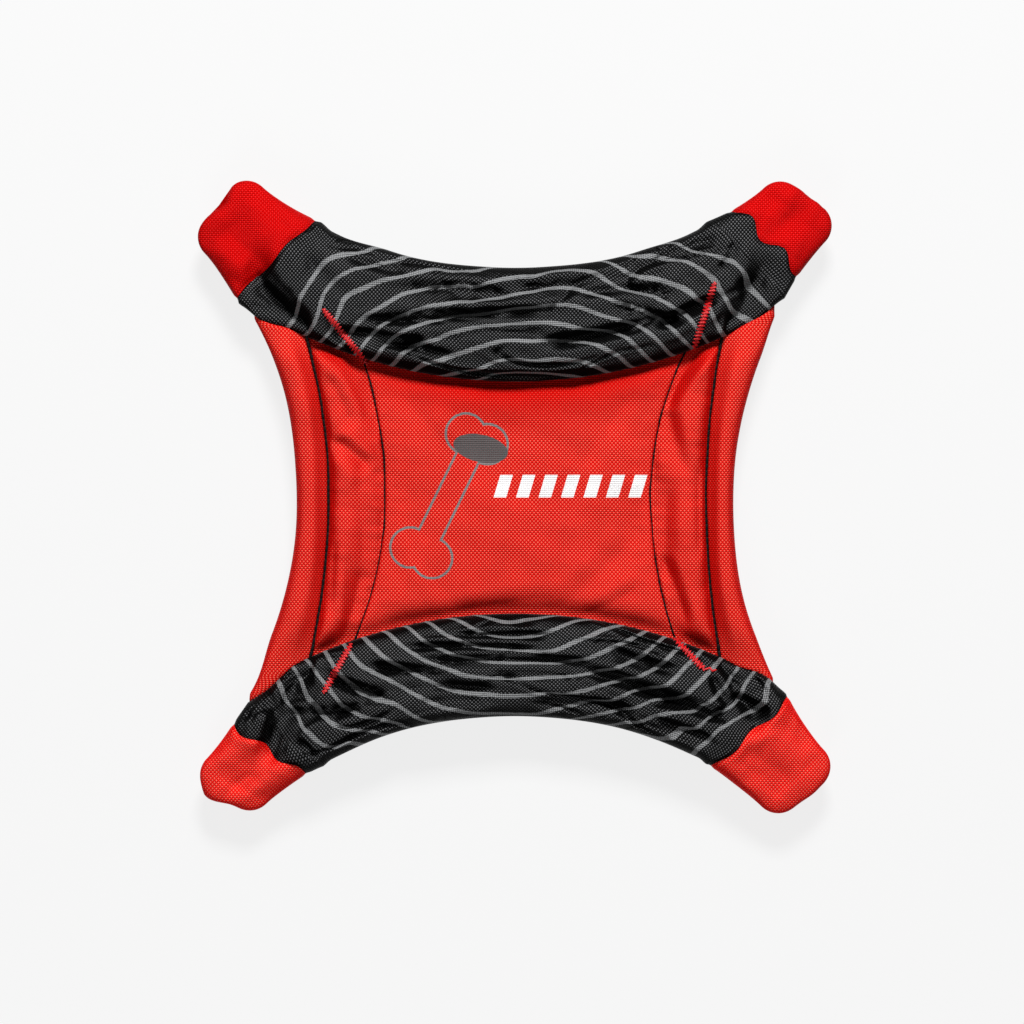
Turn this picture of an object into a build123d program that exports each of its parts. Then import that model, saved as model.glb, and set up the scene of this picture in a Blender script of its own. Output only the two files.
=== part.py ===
"""Soft four-eared flyer: a padded ring of two bands and two edge tubes around a stitched centre panel.

Millimetres, +Z up. The flyer lies flat on the backs of its bands, with the origin under its centre.
Each padded band follows a circle about an axis beside the flyer, and so does everything along it:
its seam, its foam and its allowances. The edge tubes and the seams beside them do the same about
two axes to the left and right.
"""

import os
from math import acos, asin, atan2, cos, degrees, floor, hypot, pi, radians, sin, sqrt

from build123d import *

# outline
span = 240.0  # across the ears, along X and along Y
waist_x = 165.0  # between the hollow left and right sides
waist_y = 170.0  # between the hollow top and bottom sides
ear_width = 32.0  # at the ear's end
ear_corner = 8.5  # corner radius of the ear, seen from above
ear_thickness = 10.0  # at the ear's end
cap_length = 32.5  # from the cap's seam to the ear's end

# padding
band_width = 42.0
band_thickness = 23.0
tube_diameter = 12.0
channel_width = 16.0
channel_thickness = 10.0
centre_thickness = 7.0
pad_corner = 6.0  # corner radius of the centre and channel pads, seen from above

# cloth, seams and thread
fabric = 1.0
foam_gap = 0.2  # between a cover and its foam
outer_land = 3.5  # flat strip that the outer seam runs on
inner_land = 3.0  # flat strip that the inner seam runs on
band_land = 1.5  # flat strip between the centre panel's pads and a band
band_allowance = 8.0  # how far the panels' edges reach into a band
tube_allowance = 1.5  # how far the panels' edges reach into a tube
cap_collar = 6.0  # how far a cap's mouth reaches into a band
tube_clearance = 1.5  # between a tube's end and a cap's mouth, along the diagonal
thread = 0.6
needle_hole = 0.9
needle_thread = 0.8
stitch_pitch = 5.0  # every second stitch of a 2.5 mm lock stitch
tack_start = (62.0, 54.5)
tack_length = 24.0
tack_width = 2.6
tack_pitch = 1.5
tack_lean = 58.0  # degrees from the X axis
edge_flat = 0.3  # half of the straight wall left between a pad's two rounded edges

# worked out from the sizes above
mid_z = band_thickness / 2
ear_reach = (span / 2 - ear_corner) * sqrt(2) + 2 * ear_corner - ear_width / 2
ear_far = (ear_reach + ear_width / 2) / sqrt(2)
ear_near = (ear_reach - ear_width / 2) / sqrt(2)
cap_reach = ear_reach - cap_length
collar_reach = cap_reach - cap_collar
tube_reach = collar_reach - tube_clearance


def side_radius(half_waist):
    """The radius of a hollow side, from the ear's corners to the waist between them."""
    sagitta = ear_far - half_waist
    return (ear_near**2 + sagitta**2) / (2 * sagitta)


band_edge = side_radius(waist_y / 2)
band_axis = waist_y / 2 + band_edge
band_seam = band_edge + band_width
allowance_edge = band_seam - band_allowance
tube_edge = side_radius(waist_x / 2)
tube_axis = waist_x / 2 + tube_edge
tube_seam = tube_edge + tube_diameter
outer_seam = tube_seam + outer_land / 2
channel_start = tube_seam + outer_land
channel_end = channel_start + channel_width
inner_seam = channel_end + inner_land / 2
centre_start = channel_end + inner_land
pad_band_edge = band_seam + band_land

ends = {"top": 1, "bottom": -1}
sides = {"left": -1, "right": 1}


def finish(part, name):
    """Labels a finished piece and writes it."""
    part.label = name
    export_step(part, f"parts/{name}.step")


def band_ring(inset):
    """The top band's full round, drawn in by the inset all over, or grown where it is negative."""
    round_off = band_thickness / 2 - inset - edge_flat
    with BuildPart() as ring:
        with BuildSketch(Plane.YZ):
            with Locations((band_axis - band_edge - band_width / 2, mid_z)):
                RectangleRounded(band_width - 2 * inset, band_thickness - 2 * inset, round_off)
        revolve(axis=Axis((0, band_axis, 0), (0, 0, 1)))
    return ring.part


def tube_ring(inset):
    """The left edge tube's full round, drawn in by the inset all over."""
    with BuildPart() as ring:
        with BuildSketch(Plane.XZ):
            with Locations((-waist_x / 2 + tube_diameter / 2, mid_z)):
                Circle(tube_diameter / 2 - inset)
        revolve(axis=Axis((-tube_axis, 0, 0), (0, 0, 1)))
    return ring.part


def between_ears(reach):
    """A block that ends at that reach along both diagonals."""
    with BuildPart() as block:
        with Locations((0, 0, mid_z)):
            Box(2 * reach, 2 * reach, 2 * band_thickness, rotation=(0, 0, 45))
    return block.part


def between_bands(band_radius):
    """The plan between two circles about the band axes, as a sketch."""
    with BuildSketch() as plan:
        Rectangle(span, span)
        with Locations((0, band_axis), (0, -band_axis)):
            Circle(band_radius, mode=Mode.SUBTRACT)
    return plan.sketch


def outside(band_radius, tube_radius):
    """The plan, as a face, outside two circles about the band axes and two about the tube axes."""
    with BuildSketch() as plan:
        add(between_bands(band_radius))
        with Locations((-tube_axis, 0), (tube_axis, 0)):
            Circle(tube_radius, mode=Mode.SUBTRACT)
    return plan.sketch.faces().sort_by_distance((0, 0, 0))[0]


def centre_plan(inset):
    """The centre pad's outline, drawn in by the inset, as a face with sharp corners."""
    return outside(pad_band_edge + inset, centre_start + inset)


def channel_plan(inset):
    """The left channel pad's outline, drawn in by the inset, as a face with sharp corners."""
    with BuildSketch() as plan:
        with Locations((-tube_axis, 0)):
            Circle(channel_end - inset)
            Circle(channel_start + inset, mode=Mode.SUBTRACT)
        with Locations((0, band_axis), (0, -band_axis)):
            Circle(pad_band_edge + inset, mode=Mode.SUBTRACT)
    return plan.sketch.faces().sort_by_distance((-waist_x / 2, 0, 0))[0]


def pad(face, thickness, inset):
    """A pad with rounded edges over an outline drawn in by the inset, about the middle plane."""
    height = thickness - 2 * inset
    with BuildPart() as cushion:
        with BuildSketch(Plane.XY.offset(mid_z - height / 2)) as plan:
            add(face)
            fillet(plan.vertices(), pad_corner - inset)
        extrude(amount=height)
        fillet(cushion.faces().filter_by(Axis.Z).edges(), height / 2 - edge_flat)
    return cushion.part


def pads(inset):
    """The centre pad and both channel pads, drawn in by the inset."""
    centre = pad(centre_plan(inset), centre_thickness, inset)
    left = pad(channel_plan(inset), channel_thickness, inset)
    return [centre, left, mirror(left, about=Plane.YZ)]


def meeting_angle(along_axis, across_axis, radius, other_radius):
    """How far a circle about one axis runs each way, in degrees, before it meets one about the other."""
    gap = hypot(along_axis, across_axis)
    lean = atan2(across_axis, along_axis)
    turn = acos((radius**2 + gap**2 - other_radius**2) / (2 * radius * gap))
    return degrees(lean - turn)


def stitch_count(radius, half_angle):
    """How many stitches fit on that arc."""
    return floor(radians(2 * half_angle) * radius / stitch_pitch)


def stitch_plane(centre, inward, half_angle):
    """The plane in which a seam's arc starts: its x runs away from the axis and its y runs up."""
    start = radians(inward - half_angle)
    away = Vector(cos(start), sin(start), 0)
    return Plane(origin=centre, x_dir=away, z_dir=away.cross(Vector(0, 0, 1)))


def needle_holes(centre, inward, radius, half_angle):
    """The places of a seam's needle holes in the plan, evenly spaced along its arc."""
    count = stitch_count(radius, half_angle)
    step = degrees(stitch_pitch / radius)
    first = inward - step * (count - 1) / 2
    turns = [radians(first + step * i) for i in range(count)]
    return [(centre[0] + radius * cos(a), centre[1] + radius * sin(a)) for a in turns]


def lock_stitch(centre, inward, radius, half_angle, layers):
    """One seam: a needle thread over the cloth and a bobbin thread under it, locked at each needle hole."""
    half_stack = layers * fabric / 2 + thread / 2
    with BuildPart() as seam:
        with BuildSketch(stitch_plane((*centre, mid_z), inward, half_angle)):
            with Locations((radius, half_stack), (radius, -half_stack)):
                Circle(thread / 2)
        revolve(axis=Axis((*centre, 0), (0, 0, 1)), revolution_arc=2 * half_angle)
        with BuildSketch(Plane.XY.offset(mid_z - half_stack)):
            with Locations(*needle_holes(centre, inward, radius, half_angle)):
                Circle(needle_thread / 2)
        extrude(amount=2 * half_stack)
    return seam.part


band_centre = (0, band_axis)
tube_centre = (-tube_axis, 0)
band_stitch_radius = band_seam - band_allowance / 2
band_stitch_half = meeting_angle(band_axis, tube_axis, band_stitch_radius, tube_seam)
outer_half = meeting_angle(tube_axis, band_axis, outer_seam, band_seam + thread)
inner_half = meeting_angle(tube_axis, band_axis, inner_seam, band_seam + thread)


def both_ways(points):
    """Those plan points and their mirror images left to right and top to bottom, without repeats."""
    turned = {(round(x * i, 4), round(y * j, 4)) for x, y in points for i in (1, -1) for j in (1, -1)}
    return sorted(turned)


band_holes = needle_holes(band_centre, -90, band_stitch_radius, band_stitch_half)
outer_holes = needle_holes(tube_centre, 0, outer_seam, outer_half)
inner_holes = needle_holes(tube_centre, 0, inner_seam, inner_half)
panel_holes = both_ways([*band_holes, *outer_holes, *inner_holes])


def panel_edge(height, low_z):
    """The panels' flat edge all round, that thick, up from that level."""
    with BuildPart() as flat:
        with BuildSketch(Plane.XY.offset(low_z)):
            add(outside(allowance_edge, tube_seam - tube_allowance))
        extrude(amount=height)
    return flat.part


def front_half():
    """The space above the middle plane."""
    with BuildPart() as space:
        with BuildSketch(Plane.XY.offset(mid_z)):
            Rectangle(2 * span, 2 * span)
        extrude(amount=band_thickness)
    return space.part


def tube_length(inset):
    """The left tube up to its ends inside the bands, drawn in by the inset."""
    with BuildPart() as tube:
        add(tube_ring(inset))
        with BuildSketch():
            add(between_bands(allowance_edge + inset))
        extrude(amount=band_thickness, mode=Mode.INTERSECT)
        add(between_ears(tube_reach - inset), mode=Mode.INTERSECT)
    return tube.part


def tube_tails():
    """The strips of the left tube's cover that lie over and under the panels' edges."""
    with BuildPart() as tails:
        with BuildSketch(Plane.XY.offset(mid_z - 2 * fabric)):
            with Locations((-tube_axis, 0)):
                Circle(channel_start)
                Circle(tube_seam - tube_allowance / 2, mode=Mode.SUBTRACT)
            add(between_bands(band_seam + thread), mode=Mode.INTERSECT)
        extrude(amount=4 * fabric)
    return tails.part


def band_turnings(gap):
    """The top band's turned-in edges with the panels' edges between them, grown by the gap."""
    with BuildPart() as turnings:
        with BuildSketch(Plane.XY.offset(mid_z - 2 * fabric - gap)) as plan:
            add(outside(allowance_edge - gap, tube_seam - gap))
            with Locations((0, band_axis)):
                Circle(band_seam - fabric / 2, mode=Mode.INTERSECT)
        extrude(amount=4 * fabric + 2 * gap)
    return turnings.part


def cap_plane(reach):
    """A plane across the top left ear's diagonal: its x runs across the ear and its y runs up."""
    point = reach / sqrt(2)
    return Plane(origin=(-point, point, mid_z), x_dir=(1, 1, 0), z_dir=(-1, 1, 0))


arc_lean = asin(cap_reach / sqrt(2) / (band_edge + band_width / 2))
mouth_width = band_width / cos(pi / 4 - arc_lean)


def cap_form(inset, start):
    """The top left ear, from that reach to its end, drawn in by the inset."""
    straight = ear_reach - ear_corner - cap_reach
    sections = []
    for share in (0.0, 0.5, 1.0):
        width = mouth_width + (ear_width - mouth_width) * share
        height = band_thickness + (ear_thickness - band_thickness) * share**0.8
        sections.append((max(start, cap_reach + straight * share), width, height))
    for bend in (22, 45, 68, 90):
        turn = radians(bend)
        width = ear_width - 2 * ear_corner * (1 - cos(turn))
        height = ear_thickness * (0.4 + 0.6 * cos(turn))
        sections.append((ear_reach - ear_corner + (ear_corner - inset) * sin(turn), width, height))
    with BuildPart() as ear:
        for reach, width, height in sections:
            with BuildSketch(cap_plane(reach)):
                RectangleRounded(width - 2 * inset, height - 2 * inset, height / 2 - inset - edge_flat)
        loft(ruled=True)
    return ear.part


def collar(inset, start, end):
    """The top band's own form between two reaches along the top left diagonal, drawn in by the inset."""
    with BuildPart() as mouth:
        add(band_ring(inset))
        with BuildSketch(cap_plane(start)):
            Rectangle(2 * band_width, 2 * band_thickness)
        extrude(amount=end - start, mode=Mode.INTERSECT)
    return mouth.part


def bar_tack():
    """A zigzag of thread over the top band, at the head of the left outer seam."""
    strokes = round(2 * tack_length / tack_pitch)
    turns = [(tack_length * i / strokes, tack_width / 2 * (-1) ** i) for i in range(strokes + 1)]
    with BuildSketch() as zigzag:
        with BuildLine(mode=Mode.PRIVATE) as path:
            Polyline(*turns)
        trace(path.line, thread)
        with Locations((tack_length / 2, 0)):
            Rectangle(tack_length, tack_width, mode=Mode.INTERSECT)
    with BuildPart() as tack:
        with BuildSketch(Plane.XY.offset(mid_z)):
            add(zigzag.sketch.moved(Location((-tack_start[0], tack_start[1]), 180 - tack_lean)))
        extrude(amount=band_thickness)
        add(band_ring(-thread), mode=Mode.INTERSECT)
        add(band_ring(0), mode=Mode.SUBTRACT)
    return tack.part


os.makedirs("parts", exist_ok=True)

# the covers of the centre: a front and a back panel, sewn to each other at the inner seams
with BuildPart() as front_panel:
    add(panel_edge(fabric, mid_z))
    add(pads(0))
    add(front_half(), mode=Mode.INTERSECT)
    add(pads(fabric), mode=Mode.SUBTRACT)
    with BuildSketch(Plane.XY.offset(mid_z)):
        with Locations(*panel_holes):
            Circle(needle_hole / 2)
    extrude(amount=fabric, mode=Mode.SUBTRACT)

finish(front_panel.part, "front_panel")
finish(mirror(front_panel.part, about=Plane.XY.offset(mid_z)), "back_panel")

# the covers of the bands, with their long edges turned in over the panels' edges
with BuildPart() as band_cover:
    add(band_ring(0))
    add(band_ring(fabric), mode=Mode.SUBTRACT)
    add(between_ears(cap_reach), mode=Mode.INTERSECT)
    add(band_turnings(0))
    add(panel_edge(2 * fabric, mid_z - fabric), mode=Mode.SUBTRACT)
    add(tube_length(-foam_gap), mode=Mode.SUBTRACT)
    add(mirror(tube_length(-foam_gap), about=Plane.YZ), mode=Mode.SUBTRACT)
    with BuildSketch(Plane.XY.offset(mid_z - 2 * fabric)):
        with Locations(*band_holes):
            Circle(needle_hole / 2)
    extrude(amount=4 * fabric, mode=Mode.SUBTRACT)

finish(band_cover.part, "top_band_cover")
finish(mirror(band_cover.part, about=Plane.XZ), "bottom_band_cover")

# the covers of the edge tubes, with tails over and under the panels' edges
with BuildPart() as edge_cover:
    add(tube_length(0))
    add(tube_ring(fabric), mode=Mode.SUBTRACT)
    add(tube_tails())
    add(panel_edge(2 * fabric, mid_z - fabric), mode=Mode.SUBTRACT)
    with BuildSketch(Plane.XY.offset(mid_z - 2 * fabric)):
        with Locations(*outer_holes):
            Circle(needle_hole / 2)
    extrude(amount=4 * fabric, mode=Mode.SUBTRACT)

finish(edge_cover.part, "left_edge_cover")
finish(mirror(edge_cover.part, about=Plane.YZ), "right_edge_cover")

# the caps over the ears, each with a collar that fits inside the band's end
collar_in = fabric + foam_gap
with BuildPart() as corner_cap:
    add(cap_form(0, cap_reach))
    add(collar(collar_in, collar_reach, cap_reach + fabric))
    add(cap_form(fabric, cap_reach + fabric), mode=Mode.SUBTRACT)
    add(collar(collar_in + fabric, collar_reach, cap_reach + fabric), mode=Mode.SUBTRACT)

# the thread of a cap's seam, inside its collar
with BuildPart() as cap_thread:
    add(collar(collar_in + fabric, collar_reach + cap_collar / 2, collar_reach + cap_collar / 2 + thread))
    add(band_ring(collar_in + fabric + thread), mode=Mode.SUBTRACT)

# the filling of an ear
foam_in = collar_in + fabric + thread + foam_gap
with BuildPart() as corner_foam:
    add(cap_form(fabric + foam_gap, cap_reach + fabric + foam_gap))
    add(collar(foam_in, collar_reach, cap_reach + fabric + foam_gap))

# the fillings of the bands and the tubes
with BuildPart() as band_foam:
    add(band_ring(fabric + foam_gap))
    add(between_ears(collar_reach - foam_gap), mode=Mode.INTERSECT)
    add(band_turnings(foam_gap + thread), mode=Mode.SUBTRACT)
    add(tube_length(-2 * foam_gap), mode=Mode.SUBTRACT)
    add(mirror(tube_length(-2 * foam_gap), about=Plane.YZ), mode=Mode.SUBTRACT)

with BuildPart() as edge_foam:
    add(tube_length(fabric + foam_gap))
    with BuildSketch(Plane.XY.offset(mid_z - fabric - foam_gap)):
        add(outside(allowance_edge - foam_gap, tube_seam - tube_allowance - foam_gap))
    extrude(amount=2 * fabric + 2 * foam_gap, mode=Mode.SUBTRACT)

finish(band_foam.part, "top_band_foam")
finish(mirror(band_foam.part, about=Plane.XZ), "bottom_band_foam")
finish(edge_foam.part, "left_edge_foam")
finish(mirror(edge_foam.part, about=Plane.YZ), "right_edge_foam")

# the fillings of the centre and the channels
centre_foam, left_channel_foam, right_channel_foam = pads(fabric + foam_gap)
finish(centre_foam, "centre_foam")
finish(left_channel_foam, "left_channel_foam")
finish(right_channel_foam, "right_channel_foam")

# the seams
band_stitches = lock_stitch(band_centre, -90, band_stitch_radius, band_stitch_half, 4)
outer_stitches = lock_stitch(tube_centre, 0, outer_seam, outer_half, 4)
inner_stitches = lock_stitch(tube_centre, 0, inner_seam, inner_half, 2)
finish(band_stitches, "top_band_seam_thread")
finish(mirror(band_stitches, about=Plane.XZ), "bottom_band_seam_thread")
finish(outer_stitches, "left_outer_seam_thread")
finish(mirror(outer_stitches, about=Plane.YZ), "right_outer_seam_thread")
finish(inner_stitches, "left_inner_seam_thread")
finish(mirror(inner_stitches, about=Plane.YZ), "right_inner_seam_thread")

# what is repeated at all four ears
tack = bar_tack()
for end, up in ends.items():
    for side, along in sides.items():
        for piece, name in (
            (corner_cap.part, "corner_cap"),
            (corner_foam.part, "corner_foam"),
            (cap_thread.part, "cap_seam_thread"),
            (tack, "bar_tack"),
        ):
            placed = piece if up > 0 else mirror(piece, about=Plane.XZ)
            placed = placed if along < 0 else mirror(placed, about=Plane.YZ)
            finish(placed, f"{end}_{side}_{name}")
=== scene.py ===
import math

import bpy
import numpy as np
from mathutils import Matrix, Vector
from mathutils.bvhtree import BVHTree


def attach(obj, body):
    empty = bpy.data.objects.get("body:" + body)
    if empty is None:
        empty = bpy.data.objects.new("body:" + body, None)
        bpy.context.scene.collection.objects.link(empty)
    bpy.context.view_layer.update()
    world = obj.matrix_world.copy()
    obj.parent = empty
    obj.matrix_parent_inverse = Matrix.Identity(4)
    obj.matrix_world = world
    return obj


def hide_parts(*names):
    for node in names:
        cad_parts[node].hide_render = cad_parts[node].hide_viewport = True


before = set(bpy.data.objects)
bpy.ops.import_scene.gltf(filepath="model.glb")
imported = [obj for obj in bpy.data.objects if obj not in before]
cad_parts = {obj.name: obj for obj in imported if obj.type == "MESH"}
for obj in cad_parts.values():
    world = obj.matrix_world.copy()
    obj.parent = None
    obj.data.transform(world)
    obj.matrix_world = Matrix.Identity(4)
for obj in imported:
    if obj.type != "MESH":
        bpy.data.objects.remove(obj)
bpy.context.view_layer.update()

mm = 0.001  # every shape below is worked out in millimetres and written in metres
pi = math.pi
left, right = -1, 1
top, bottom = 1, -1

body = {
    "midZ": 11.5,  # the level that the front and the back mirror each other about
    "bandAxis": 236.39,  # the bands bend around points this far up and down
    "bandMid": 172.39,  # radius of a band's middle line
    "tubeAxis": 227.09,  # the hollow sides bend around points this far left and right
    "sideRadius": 144.59,  # radius of a hollow side
    "capReach": 126.2,  # from the centre to a cap's seam, along the diagonal
    "seamLean": 31.17,  # degrees around the band's axis, from the middle to a cap's seam
}


# ---- small helpers

def smooth(x, low, high):
    # 0 below low, 1 above high, and 3q^2 - 2q^3 between
    q = np.clip((x - low) / (high - low), 0.0, 1.0)
    return q * q * (3.0 - 2.0 * q)


def ripple(x, y, size, seed, waves=7):
    # A gentle unevenness from -1 to 1: a sum of sine waves that run every way, about size apart.
    rng = np.random.default_rng(seed)
    total = np.zeros(np.broadcast(x, y).shape)
    for turn, longer, phase in rng.random((waves, 3)):
        k = 2 * pi / (size * (0.7 + 0.9 * longer))
        total += np.sin(k * (x * math.cos(turn * 2 * pi) + y * math.sin(turn * 2 * pi)) + phase * 2 * pi)
    return total / math.sqrt(waves) / 1.4


def bell(x, width):
    # 1 in the middle, and e^-(x/width)^2 to both sides
    return np.exp(-((x / width) ** 2))


foldShape = {
    "fade": 0.25,  # share of the length over which a fold fades in, and out again
    "left": 1.35, "right": 0.8,  # how steep its sides are
    "point": 1.35,  # 2 is a bell curve, and less is more pointed
    "gain": 1.6,
    "ridge": 0.34, "ridgeAt": 1.9, "ridgeWide": 0.85,  # beside the valley, in half widths of it
}
creaseShape = {
    "drawn": 0.28, "shownDrawn": 0.3,  # how long-drawn the creases are, and the stretches where they show
    "broad": 2.4, "shown": (-0.25, 0.45),  # how broad those are, and where their ripple lets creases in
    "half": 0.15, "point": 1.3,
    "ridge": 0.4, "ridgeAt": 0.42, "ridgeWide": 0.2,
}


def foldDepth(x, y, folds):
    # A fold is a valley along a bowed line from one plan point to another. Across it the depth falls off as
    # a pointed bell curve, steeper on the left of its run, with a low ridge on each side. It fades in and
    # out over a quarter of its length at each end.
    shape = foldShape
    total = np.zeros(x.shape)
    for x0, y0, x1, y1, bow, width, depth in folds:
        run = math.hypot(x1 - x0, y1 - y0)
        ax, ay = (x1 - x0) / run, (y1 - y0) / run
        along = ((x - x0) * ax + (y - y0) * ay) / run
        across = -(x - x0) * ay + (y - y0) * ax - bow * 4 * along * (1 - along)
        fade = smooth(along, 0.0, shape["fade"]) * smooth(1 - along, 0.0, shape["fade"])
        near = np.abs(across) / width * np.where(across > 0, shape["left"], shape["right"])
        ridges = shape["ridge"] * bell(near - shape["ridgeAt"], shape["ridgeWide"])
        total += shape["gain"] * depth * fade * (np.exp(-(near ** shape["point"])) - ridges)
    return total


def creases(along, across, size, seed):
    # Thin valleys where a long-drawn ripple passes through nothing, with a low ridge on each side. They
    # come and go with a second, broader ripple.
    shape = creaseShape
    field = np.abs(ripple(shape["drawn"] * along, across, size, seed))
    broad = shape["broad"] * size
    shown = smooth(ripple(shape["shownDrawn"] * along, across, broad, seed + 1), *shape["shown"])
    valley = np.exp(-((field / shape["half"]) ** shape["point"]))
    return shown * (valley - shape["ridge"] * bell(field - shape["ridgeAt"], shape["ridgeWide"]))


def walked(a, b, axis):
    # Length along one axis of a grid whose points lie at a, b, from 0 at its first row or column
    step = np.hypot(np.diff(a, axis=axis), np.diff(b, axis=axis))
    return np.insert(np.cumsum(step, axis=axis), 0, 0.0, axis=axis)


def unroll(a, z, start):
    # Length along each section of a grid, from the column start
    run = walked(a, z, 1)
    return run - run[:, start:start + 1]


def evened(grid, rows):
    # Each value becomes the mean of the rows around it, so small creases do not break a printed line.
    wide = np.pad(grid, ((rows, rows), (0, 0)), mode="edge")
    total = np.cumsum(np.concatenate([np.zeros((1, grid.shape[1])), wide]), axis=0)
    return (total[2 * rows + 1:] - total[:-2 * rows - 1]) / (2 * rows + 1)


def addMesh(name, verts, quads, tris, material, uv=None):
    # verts are in millimetres. uv has each face corner's place in millimetres of cloth, the quads' first.
    mesh = bpy.data.meshes.new(name)
    mesh.vertices.add(len(verts))
    mesh.vertices.foreach_set("co", (verts * mm).astype(np.float32).ravel())
    corners = np.concatenate([quads.ravel(), tris.ravel()]).astype(np.int32)
    counts = np.concatenate([np.full(len(quads), 4), np.full(len(tris), 3)])
    mesh.loops.add(len(corners))
    mesh.loops.foreach_set("vertex_index", corners)
    mesh.polygons.add(len(counts))
    mesh.polygons.foreach_set("loop_start", (np.cumsum(counts) - counts).astype(np.int32))
    if uv is not None:
        mesh.uv_layers.new(name="cloth").data.foreach_set("uv", (uv * mm).astype(np.float32).ravel())
    mesh.polygons.foreach_set("use_smooth", np.ones(len(counts), bool))
    mesh.update(calc_edges=True)
    mesh.validate()
    mesh.materials.append(material)
    piece = bpy.data.objects.new(name, mesh)
    bpy.context.scene.collection.objects.link(piece)
    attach(piece, "root")
    return piece


def makePiece(name, points, uv, material):
    # points is a grid of sections, [along, around, xyz] in millimetres, whose last column repeats the
    # first. Both ends are shut with a fan of triangles. uv has the same grid, in millimetres of cloth.
    rows, cols = points.shape[0], points.shape[1] - 1
    verts = points[:, :cols].reshape(-1, 3)
    ring = np.arange(cols)
    after = (ring + 1) % cols
    u = np.arange(rows - 1)[:, None] * cols
    quads = np.stack([u + ring, u + cols + ring, u + cols + after, u + after], axis=-1).reshape(-1, 4)
    quadUv = np.stack([uv[:-1, :-1], uv[1:, :-1], uv[1:, 1:], uv[:-1, 1:]], axis=2).reshape(-1, 4, 2)
    a, b, c, d = (verts[quads[:, i]] for i in range(4))
    volume = np.einsum("ij,ij->i", a, np.cross(b, c) + np.cross(c, d)).sum()
    tris, triUv = [], []
    base = (rows - 1) * cols
    for hub, here, there, edge, hereUv, thereUv in (
        (len(verts), ring, after, uv[0], uv[0, :-1], uv[0, 1:]),
        (len(verts) + 1, base + after, base + ring, uv[-1], uv[-1, 1:], uv[-1, :-1]),
    ):
        tris.append(np.stack([here, there, np.full(cols, hub)], axis=-1))
        triUv.append(np.stack([hereUv, thereUv, np.repeat(edge.mean(0)[None], cols, 0)], axis=1))
    verts = np.concatenate([verts, [verts[:cols].mean(0), verts[base:].mean(0)]])
    tris, triUv = np.concatenate(tris), np.concatenate(triUv)
    if volume < 0:
        quads, quadUv, tris, triUv = (faces[:, ::-1] for faces in (quads, quadUv, tris, triUv))
    cloth = np.concatenate([quadUv.reshape(-1, 2), triUv.reshape(-1, 2)])
    return addMesh(name, verts, quads, tris, material, cloth)


# ---- nodes

def socket(tree, value, target):
    if isinstance(value, (int, float, tuple)):
        target.default_value = value
    else:
        tree.links.new(value, target)


def calc(tree, operation, *values, kind="ShaderNodeMath"):
    node = tree.nodes.new(kind)
    node.operation = operation
    for target, value in zip(node.inputs, values):
        socket(tree, value, target)
    return node.outputs[0]


def product(tree, first, *others):
    for other in others:
        first = calc(tree, "MULTIPLY", first, other)
    return first


def distance(tree, a, b):
    # The square root of a^2 + b^2
    return calc(tree, "SQRT", calc(tree, "ADD", product(tree, a, a), product(tree, b, b)))


def raised(tree, share, least):
    # From least where share is 0 to 1 where it is 1
    return calc(tree, "MULTIPLY_ADD", share, 1 - least, least)


def split(tree, vector):
    node = tree.nodes.new("ShaderNodeSeparateXYZ")
    tree.links.new(vector, node.inputs[0])
    return node.outputs


def noise(tree, place, scale, detail):
    node = tree.nodes.new("ShaderNodeTexNoise")
    node.inputs["Scale"].default_value = scale
    node.inputs["Detail"].default_value = detail
    tree.links.new(place, node.inputs["Vector"])
    return node.outputs[0]


def mixColor(tree, share, a, b, blend="MIX"):
    node = tree.nodes.new("ShaderNodeMix")
    node.data_type = "RGBA"
    node.blend_type = blend
    socket(tree, share, node.inputs[0])
    socket(tree, a, node.inputs[6])
    socket(tree, b, node.inputs[7])
    return node.outputs[2]


def stretch(tree, value, low, high, kind="SMOOTHSTEP"):
    node = tree.nodes.new("ShaderNodeMapRange")
    node.interpolation_type = kind
    for label, given in (("Value", value), ("From Min", low), ("From Max", high)):
        socket(tree, given, node.inputs[label])
    return node.outputs["Result"]


def newGroup(name, inputs, outputs):
    # inputs gives each name its starting value, where None stands for a vector, and outputs its kind.
    group = bpy.data.node_groups.new(name, "ShaderNodeTree")
    for label, value in inputs.items():
        kind = "Vector" if value is None else "Float"
        made = group.interface.new_socket(name=label, in_out="INPUT", socket_type=f"NodeSocket{kind}")
        if value is not None:
            made.default_value = value
    for label, kind in outputs.items():
        group.interface.new_socket(name=label, in_out="OUTPUT", socket_type=f"NodeSocket{kind}")
    return group, group.nodes.new("NodeGroupInput").outputs, group.nodes.new("NodeGroupOutput").inputs


def placeGroup(tree, group, values):
    node = tree.nodes.new("ShaderNodeGroup")
    node.node_tree = group
    for label, value in values.items():
        socket(tree, value, node.inputs[label])
    return node.outputs


# ---- effects that the cloth materials share

weaveShape = {
    "rise": 0.5,  # how far a yarn rises and dips, against its own roundness
    "round": 3.6,  # how round it is across
    "low": 0.55, "high": 1.4,  # heights between the gap's bottom and the crown's top
    "runSlope": 1.3, "sideSlope": 3.4,
}


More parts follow.
